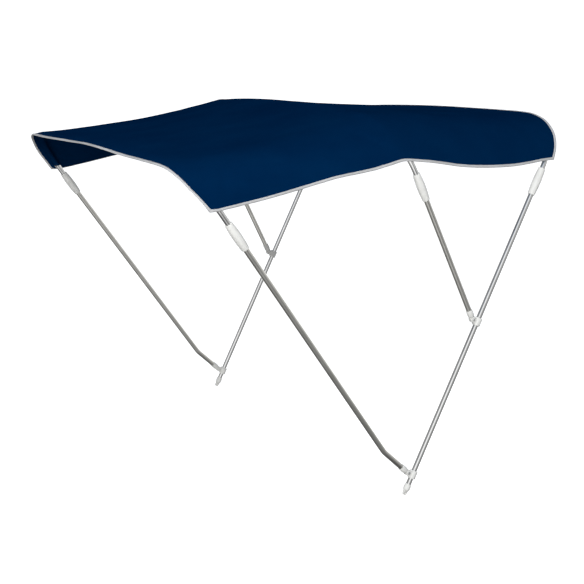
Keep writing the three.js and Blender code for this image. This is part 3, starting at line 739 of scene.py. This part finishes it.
def stitch_row(points, normals, radius):
    """Corners and faces of stitches along a line of points."""
    lengths = travelled(points)

    def read(values, at):
        return np.array([np.interp(at, lengths, column) for column in values.T])

    corners, faces = [], []
    for start in np.arange(STITCH, lengths[-1] - STITCH, STITCH):
        ends = [read(points, start + d) for d in (0, 0.76 * STITCH)]
        up = unit(read(normals, start))
        beside = np.cross(unit(ends[1] - ends[0]), up)
        middle = (ends[0] + ends[1]) / 2
        first = len(corners)
        corners += [ends[0], ends[1]] + [middle + r * radius for r in (beside, up, -beside, -up)]
        for k in range(4):
            a, b = first + 2 + k, first + 2 + (k + 1) % 4
            faces += [(first, b, a), (first + 1, a, b)]
    return corners, faces


def join_rows(name, rows):
    corners, faces = [], []
    for row_corners, row_faces in rows:
        faces += [tuple(k + len(corners) for k in f) for f in row_faces]
        corners += row_corners
    obj = mesh_object(name, corners, faces)
    close_up(obj)
    return obj


round_trip = edge_stops + edge_stops[:1]
seam = np.array([edge_point(stop, TAPE_SEAM_IN, TAPE_SEAM_UP) for stop in round_trip])
seam_up = np.array([read_grid(sheet_normals, *way_in(*stop, TAPE_SEAM_IN)) for stop in round_trip])
tape_stitches = join_rows("edge_stitches", [stitch_row(seam, seam_up, 0.45 * MM)])
settle(tape_stitches, grey_thread, "edge_tape")
print("tape stitches:", len(tape_stitches.data.polygons) // 8)

# %% [markdown]
# Over each bow two rows of stitches follow the pocket's seams. They stop short of the hems, where the tape
# begins.

# %% Stitches over the bows
def row_at(place):
    """A place along the cloth in metres, counted in grid rows."""
    return float(np.interp(place, along, np.arange(len(along))))


bow_rows = []
for place in BOW_ROWS.values():
    for offset in (-SEAM_OFF, SEAM_OFF):
        i = row_at(place + offset)
        js = inside_of(across, 30 * MM)
        line = np.array([lifted(i, j, 0.85 * MM) for j in js])
        up = np.array([read_grid(sheet_normals, i, j) for j in js])
        bow_rows.append(stitch_row(line, up, 0.4 * MM))
bow_stitches = join_rows("bow_stitches", bow_rows)
settle(bow_stitches, navy_thread, "cloth")
print("bow stitches:", len(bow_stitches.data.polygons) // 8)

# %% [markdown]
# ## The bow pockets
# Each bow runs in a pocket: a strip of the same cloth, sewn to the underside of the canopy along both edges,
# that passes below the tube. Its section is two flat edges against the canopy and a loose loop between them.
# The loop hangs a little, more in some places than in others.

# %% The pockets
POCKET_END = 13 * MM  # from a hem to the pocket's end
POCKET_FLAT = [(24, 1.5), (21, 1.6), (17, 1.6), (14.5, 2.4)]  # mm from the bow, and mm under the cloth
POCKET_LOOP = (188, 210, 232, 254, 270, 286, 308, 330, 352)  # degrees round the tube
LOOP_R, SLACK, POCKET_THICK = 12.2 * MM, 0.35 * MM, 0.9 * MM


def pocket(name):
    i_bow = int(abs(along - BOW_ROWS[name]).argmin())
    line = np.array([list(p) for p in bow_lines[name]])
    rings_at = [int(np.linalg.norm(line - p, axis=1).argmin()) for p in grid[GRID_ROWS[name]]]
    centres = curve_through(line[rings_at][:, None, :], across_knots, across)[:, 0]
    columns = inside_of(across, POCKET_END)
    sections = []
    for j in columns:
        out = unit(sheet[i_bow, j] - centres[j])
        fore = sheet[i_bow + 1, j] - sheet[i_bow - 1, j]
        fore = unit(fore - out * fore.dot(out))
        slack = SLACK * (1 + noise.noise(Vector((j * 0.35, i_bow, 2.0))))
        loop = []
        for angle in map(math.radians, POCKET_LOOP):
            reach = LOOP_R + slack * (0.4 - math.sin(angle))
            loop.append(centres[j] + fore * math.cos(angle) * reach + out * math.sin(angle) * reach)
        flats = [[lifted(row_at(BOW_ROWS[name] + way * off * MM), j, -drop * MM) for off, drop in POCKET_FLAT]
                 for way in (-1, 1)]
        sections.append(flats[0] + loop + flats[1][::-1])
    points = np.array(sections)
    obj = grid_object(f"pocket_sheet_{name}", points, across[columns], np.linspace(0, 0.075, points.shape[1]))
    add_modifier(obj, "SOLIDIFY", thickness=POCKET_THICK, offset=0)
    smooth(obj, 60)
    return settle(obj, canvas, "cloth", f"pocket_{name}")


pockets = [pocket(name) for name in LEAN]
print("pockets:", [len(p.data.polygons) for p in pockets])

# %% [markdown]
# ## Turned and moulded fittings
# The fittings are round bodies with flat tongues and jaws. A round body is its half outline spun about its
# axis. A tongue is a disc whose upper half is moved up before it gets its thickness. Bodies and tongues are
# joined and bored with boolean cuts, and their edges get a small bevel, as a mould would leave them. Each
# fitting is modelled upright with its pin at the origin, then copied, leaned and moved to its place. All sizes
# here are in millimetres.

# %% Spin a round body, and make a tongue
def finished(obj):
    """Closes a mesh up and puts its faces in a fixed order, because a spin leaves them in a chance one."""
    bpy.ops.object.mode_set(mode="OBJECT")
    close_up(obj)
    corners = [v.co.copy() for v in obj.data.vertices]
    faces = [list(polygon.vertices) for polygon in obj.data.polygons]
    starts = [face.index(min(face)) for face in faces]
    obj.data.clear_geometry()
    obj.data.from_pydata(corners, [], sorted(face[k:] + face[:k] for face, k in zip(faces, starts)))
    return obj


def turned(name, profile, steps=40):
    """Spins an outline of (radius, height), in mm, about Z."""
    obj = added(bpy.ops.mesh.primitive_plane_add, name, size=MM)
    bpy.ops.object.mode_set(mode="EDIT")
    bpy.ops.mesh.select_all(action="SELECT")
    bpy.ops.mesh.merge(type="CENTER")
    r, z = profile[0]
    bpy.ops.transform.translate(value=(r * MM, 0, z * MM))
    for (r0, z0), (r1, z1) in zip(profile, profile[1:]):
        bpy.ops.mesh.extrude_region_move(
            TRANSFORM_OT_translate={"value": ((r1 - r0) * MM, 0, (z1 - z0) * MM)})
    bpy.ops.mesh.select_all(action="SELECT")
    bpy.ops.mesh.spin(steps=steps, angle=2 * math.pi, center=(0, 0, 0), axis=(0, 0, 1))
    return finished(obj)


def tongue(name, r, top, thick):
    """A flat tongue in the XZ plane: round about the pin, and running up to top."""
    obj = added(bpy.ops.mesh.primitive_circle_add, name, vertices=40, radius=r * MM, fill_type="NGON",
                rotation=(math.pi / 2, 0, 0), location=(0, thick / 2 * MM, 0))
    bpy.ops.object.transform_apply()
    bpy.ops.object.mode_set(mode="EDIT")
    bpy.ops.mesh.select_all(action="DESELECT")
    mesh = bmesh.from_edit_mesh(obj.data)
    for vertex in mesh.verts:
        vertex.select = vertex.co.z > 0.01 * MM
    mesh.select_flush_mode()
    bmesh.update_edit_mesh(obj.data)
    bpy.ops.transform.translate(value=(0, 0, top * MM))
    bpy.ops.mesh.select_all(action="SELECT")
    bpy.ops.mesh.extrude_region_move(TRANSFORM_OT_translate={"value": (0, -thick * MM, 0)})
    return finished(obj)


def rod(r, length, axis="Z", at=(0, 0, 0), sides=32):
    turn = {"X": (0, math.pi / 2, 0), "Y": (math.pi / 2, 0, 0), "Z": (0, 0, 0)}[axis]
    return added(bpy.ops.mesh.primitive_cylinder_add, vertices=sides, radius=r * MM, depth=length * MM,
                 rotation=turn, location=[c * MM for c in at])


def block(size, at):
    return added(bpy.ops.mesh.primitive_cube_add, size=MM, scale=size, location=[c * MM for c in at])


def combine(obj, tool, operation="DIFFERENCE"):
    """Cuts a tool out of a piece, or adds it with UNION, and removes the tool."""
    add_modifier(obj, "BOOLEAN", object=tool, operation=operation, solver="EXACT")
    bpy.data.objects.remove(tool)


def round_edges(obj, width):
    add_modifier(obj, "BEVEL", width=width * MM, segments=2, limit_method="ANGLE",
                 angle_limit=math.radians(38), use_clamp_overlap=True)
    smooth(obj, 40)


def placed(pattern, name, point, lean, flip=False):
    """A copy of a fitting, leaned in the XZ plane and moved to its place, with its own mesh."""
    obj = pattern.copy()
    obj.data = pattern.data.copy()
    obj.name = name
    bpy.context.collection.objects.link(obj)
    turn = Matrix.Rotation(math.radians(lean), 4, "Y") @ Matrix.Rotation(math.pi if flip else 0, 4, "Z")
    obj.data.transform(Matrix.Translation(point) @ turn)
    return obj


def centre_of(node):
    low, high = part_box(node)
    return Vector([(a + b) / 2 for a, b in zip(low, high)])

# %% [markdown]
# The sleeve joins a bow to its leg: a barrel 112 mm long, a little thicker in the middle, with a tube pushed
# into each end. It is turned all round, with a softened lip at both mouths.

# %% Barrel sleeves
HALF_BARREL = [
    (11.2, 56), (13.2, 56), (13.9, 55.4), (14.6, 50), (15.5, 38), (16.3, 25), (16.9, 12), (17.0, 0),
]
other_half = [(r, -z) for r, z in HALF_BARREL[-2::-1]]
barrel = turned("barrel", HALF_BARREL + other_half + HALF_BARREL[:1])
smooth(barrel, 40)
for side in ("near", "far"):
    for name, lean in LEAN.items():
        node = f"sleeve_{name}_{side}"
        copy = placed(barrel, f"barrel_{name}_{side}", centre_of(node), lean)
        settle(copy, white_nylon, "white_nylon", node)
bpy.data.objects.remove(barrel)
print("sleeves made")

# %% [markdown]
# The slide is a ring clamped round the main leg, with two jaws that hold the folding leg's tongue. The jaws
# are one thick tongue with a slot cut through it, turned to point forward. The slot stops at the ring.

# %% Jaw slides
JAW_REACH = 27.5  # from the middle of the main leg to the pin
PIN_HOLE = 3.4  # its radius
slide = turned("slide", [(0, -16), (14.4, -16), (15.5, -15.6), (16, -14.6), (16, 14.6), (15.5, 15.6),
                         (14.4, 16), (0, 16)])
jaws = tongue("jaws", 11.5, JAW_REACH, 20.8)
jaws.data.transform(Matrix.Translation((-JAW_REACH * MM, 0, 0)) @ Matrix.Rotation(math.pi / 2, 4, "Y"))
combine(jaws, block((40, 10.8, 40), (-36.4, 0, 0)))
combine(slide, jaws, "UNION")
combine(slide, rod(11.4, 60))
combine(slide, rod(PIN_HOLE, 60, "Y", (-JAW_REACH, 0, 0)))
round_edges(slide, 0.8)
print("slide:", len(slide.data.polygons), "faces")

# %% [markdown]
# The leg end is a socket for the tube's end that narrows to the flat tongue between the jaws.

# %% Leg ends
SOCKET_R = 11.15  # a little more than the tube
leg_end = turned("leg_end", [(0, 12), (9.6, 12), (11.3, 14.2), (12.5, 17.2), (13, 20.5), (13, 43.6),
                             (12.6, 44.6), (11.8, 45), (0, 45)])
combine(leg_end, tongue("end_tongue", 10.5, 18, 10), "UNION")
combine(leg_end, rod(SOCKET_R, 40, at=(0, 0, 40)))
combine(leg_end, rod(PIN_HOLE, 60, "Y"))
round_edges(leg_end, 0.7)
print("leg end:", len(leg_end.data.polygons), "faces")

# %% [markdown]
# The pivot bolt has a low domed head with a hexagon socket on the outer side and a hexagon nut on the inner
# one. Slide, leg end and bolt share the same pin, so all three are placed from it.

# %% Pivot bolts
REACH = 10.8  # from the middle of the tongue to the outside of a jaw
LEG_Y = {"near": -0.8, "far": 0.8}  # the legs' places across the boat, in metres
bolt = turned("bolt", [(0, -REACH - 3), (3, -REACH - 3), (3, REACH), (5.5, REACH), (5.5, REACH + 0.9),
                       (4.9, REACH + 2.2), (3.6, REACH + 2.9), (0, REACH + 3.1)], 24)
combine(bolt, rod(1.7, 4, at=(0, 0, REACH + 3), sides=6))
combine(bolt, rod(5.1, 3.4, at=(0, 0, -REACH - 1.7), sides=6), "UNION")
round_edges(bolt, 0.25)
bolt.data.transform(Matrix.Rotation(math.pi / 2, 4, "X"))

main_lean = math.radians(LEAN["main"])
pin_to_ring = Vector((math.cos(main_lean), 0, -math.sin(main_lean))) * JAW_REACH * MM
for side, y in LEG_Y.items():
    toe = centre_line(f"leg_front_{side}", TOE_LEAN)
    toe_lean = math.degrees(math.atan2(toe[1].x - toe[0].x, toe[1].z - toe[0].z))
    for title, lean in (("low", toe_lean), ("mid", LEAN["mid"])):
        place = f"{title}_{side}"
        pin = centre_of(f"pivot_bolt_{place}")
        pin.y = y
        settle(placed(slide, f"jaw_slide_{place}", pin + pin_to_ring, LEAN["main"]), white_nylon,
               "white_nylon", f"slide_{place}")
        settle(placed(leg_end, f"eye_{place}", pin, lean), white_nylon, "white_nylon", f"leg_end_{place}")
        settle(placed(bolt, f"bolt_{place}", pin, 0, flip=side == "far"), stainless, "steel",
               f"pivot_bolt_{place}")
    print("the", side, "toe leans", round(toe_lean, 2), "degrees")
for pattern in (slide, leg_end, bolt):
    bpy.data.objects.remove(pattern)

# %% [markdown]
# The foot closes the main leg's lower end. It is a small bulb with a flat tongue below it, which pins into a
# hinge on the deck, and a set screw at its side holds it to the tube.

# %% Feet and their set screws
foot = turned("foot", [(0, 8), (5.5, 8.1), (8.8, 9.2), (11.4, 11.8), (13.1, 15.6), (13.8, 20), (13.7, 25),
                       (13.2, 31), (12.6, 36.6), (12.1, 37.7), (11.6, 38), (0, 38)])
SCREW_UP, FOOT_HOLE = 25, 3.5  # from the pin to the set screw, and the pin hole's radius
combine(foot, tongue("foot_tongue", 8.5, 13, 9), "UNION")
combine(foot, rod(SOCKET_R, 40, at=(0, 0, 36)))
combine(foot, rod(FOOT_HOLE, 60, "Y"))
combine(foot, rod(3.1, 8, "X", (15.4, 0, SCREW_UP), 24))
round_edges(foot, 0.6)
screw = turned("set_screw", [(0, 0), (2.8, 0), (2.8, 2.6), (2.5, 2.9), (0, 2.9)], 24)
combine(screw, rod(1.35, 3, at=(0, 0, 2.9), sides=6))
screw.data.transform(Matrix.Translation((11.6 * MM, 0, SCREW_UP * MM)) @ Matrix.Rotation(math.pi / 2, 4, "Y"))
smooth(screw, 30)
for side, y in LEG_Y.items():
    for pattern, name, finish, slot, node in (
            (foot, f"eye_end_{side}", white_nylon, "white_nylon", f"foot_{side}"),
            (screw, f"set_screw_{side}", stainless, "steel", f"foot_screw_{side}")):
        settle(placed(pattern, name, (0, y, 0), LEAN["main"]), finish, slot, node)
for pattern in (foot, screw):
    bpy.data.objects.remove(pattern)
print("pieces so far:", len(made))

# %% [markdown]
# ## Floor and light
# The photograph is a cut-out on white. A wide pale floor under the feet and a pale dome round it come close to
# that. Both only show themselves: the tubes and the cloth take their light from the sky and the two lamps, so
# that the floor doesn't light the inside of the canopy.

# %% The floor and the dome
FLOOR_Z, FLOOR_R, DOME_R = -9.2 * MM, 60, 59  # the floor lies just under the feet
pale, _ = new_material("pale_floor", Base_Color=(0.86, 0.86, 0.86, 1), Roughness=0.9,
                       Emission_Color=(1, 1, 1, 1), Emission_Strength=1.0)
floor = added(bpy.ops.mesh.primitive_circle_add, "studio_floor", vertices=96, radius=FLOOR_R,
              fill_type="NGON", location=(0, 0, FLOOR_Z))
dome = added(bpy.ops.mesh.primitive_uv_sphere_add, "studio_dome", segments=48, ring_count=24, radius=DOME_R)
for backdrop in (floor, dome):
    backdrop.data.materials.append(pale)
    backdrop.visible_glossy = backdrop.visible_diffuse = backdrop.visible_shadow = False
print("floor", 2 * FLOOR_R, "m across")

# %% [markdown]
# The sky is white, with two dark panels that stand left and right of the camera and give polished tube its
# dark streaks. A weaker spot in the right panel lightens the right sides of the tubes. The sky is dimmer and
# bluer overhead, and darkest below. Matt surfaces get a third less of it than the metal does, so that the
# shade under the canopy stays deep.

# %% The sky with its two dark panels
world = bpy.data.worlds.new("studio")
bpy.context.scene.world = world
world.use_nodes = True
direction = add_node(world, "ShaderNodeTexCoord").outputs["Generated"]


def sky_math(operation, *values):
    return add_node(world, "ShaderNodeMath", dict(enumerate(values)), operation=operation).outputs[0]


def times(a, b):
    return sky_math("MULTIPLY", a, b)


def less(value, share=1.0):
    """1 less a share of a value."""
    return sky_math("SUBTRACT", 1, times(value, share))


def along_axis(axis):
    inputs = {0: direction, 1: axis}
    return add_node(world, "ShaderNodeVectorMath", inputs, operation="DOT_PRODUCT").outputs["Value"]


def ramp(value, low, high):
    """Climbs softly from 0 to 1 while the value goes from low to high."""
    return add_node(world, "ShaderNodeMapRange", {"Value": value, "From Min": low, "From Max": high},
                    interpolation_type="SMOOTHSTEP").outputs[0]


level_back = Vector((towards_camera.x, towards_camera.y, 0)).normalized()
level_right = Vector((-level_back.y, level_back.x, 0))
up = along_axis((0, 0, 1))
below = times(up, -1)
around = sky_math("ARCTAN2", along_axis(level_right), along_axis(level_back))


def between(low, high, blur=0.2):
    """1 where the way round from the camera lies between two angles, in radians, and 0 elsewhere."""
    past_low, past_high = (ramp(around, edge - blur / 2, edge + blur / 2) for edge in (low, high))
    return times(past_low, less(past_high))


HELD_BACK = 0.32  # the share of the sky's light that matt surfaces don't get
left_panel = times(between(-2.30, -0.66), 0.72)
right_panel = times(between(0.30, 2.1), sky_math("ADD", 0.62, times(ramp(below, -0.1, 0.3), 0.16)))
weak_spot = times(between(0.95, 2.4, 0.4), times(ramp(up, -0.2, 0.02), less(ramp(up, 0.35, 0.6))))
right_panel = times(right_panel, less(weak_spot, 0.35))
open_sky = less(sky_math("MAXIMUM", left_panel, right_panel))
strength = times(open_sky, times(less(ramp(up, 0.38, 0.8), 0.6), less(ramp(below, 0.5, 0.9), 0.85)))
ray = add_node(world, "ShaderNodeLightPath")
strength = times(strength, less(ray.outputs["Is Diffuse Ray"], HELD_BACK))
tint = add_node(world, "ShaderNodeValToRGB", {"Fac": ramp(up, 0.4, 0.8)})
tint.color_ramp.elements[0].color = (1, 1, 1, 1)
tint.color_ramp.elements[1].color = (0.55, 0.72, 1, 1)
background = world.node_tree.nodes["Background"]
connect(world, strength, background, "Strength")
connect(world, tint.outputs["Color"], background, "Color")
print("right of the camera:", [round(c, 2) for c in level_right])

# %% [markdown]
# The main light is a large soft lamp at the front left, about 30 degrees up. A weak one stands low on the same
# side and lightens the fittings under the canopy. Neither is mirrored in the tubes.

# %% Soft lights
LIGHTS_AIM = Vector((0, 0, 1.1))


def soft_light(name, place, size, power):
    data = bpy.data.lights.new(name, "AREA")
    data.shape = "DISK"
    data.size = size
    data.energy = power
    light = bpy.data.objects.new(name, data)
    bpy.context.collection.objects.link(light)
    light.location = place
    light.rotation_euler = (Vector(place) - LIGHTS_AIM).to_track_quat("Z", "Y").to_euler()
    light.visible_glossy = False
    print(name, "light:", power, "W")


soft_light("key", (-3.3, -4.2, 4.0), 2.2, 210)
soft_light("low_fill", (-3.4, -3.6, 0.3), 2.5, 22)

# %% [markdown]
# ## The count
# The last line counts the finished pieces and their triangles.

# %% Count the pieces and their triangles
print("pieces:", len(made), "triangles:", sum(len(p.vertices) - 2 for o in made for p in o.data.polygons))
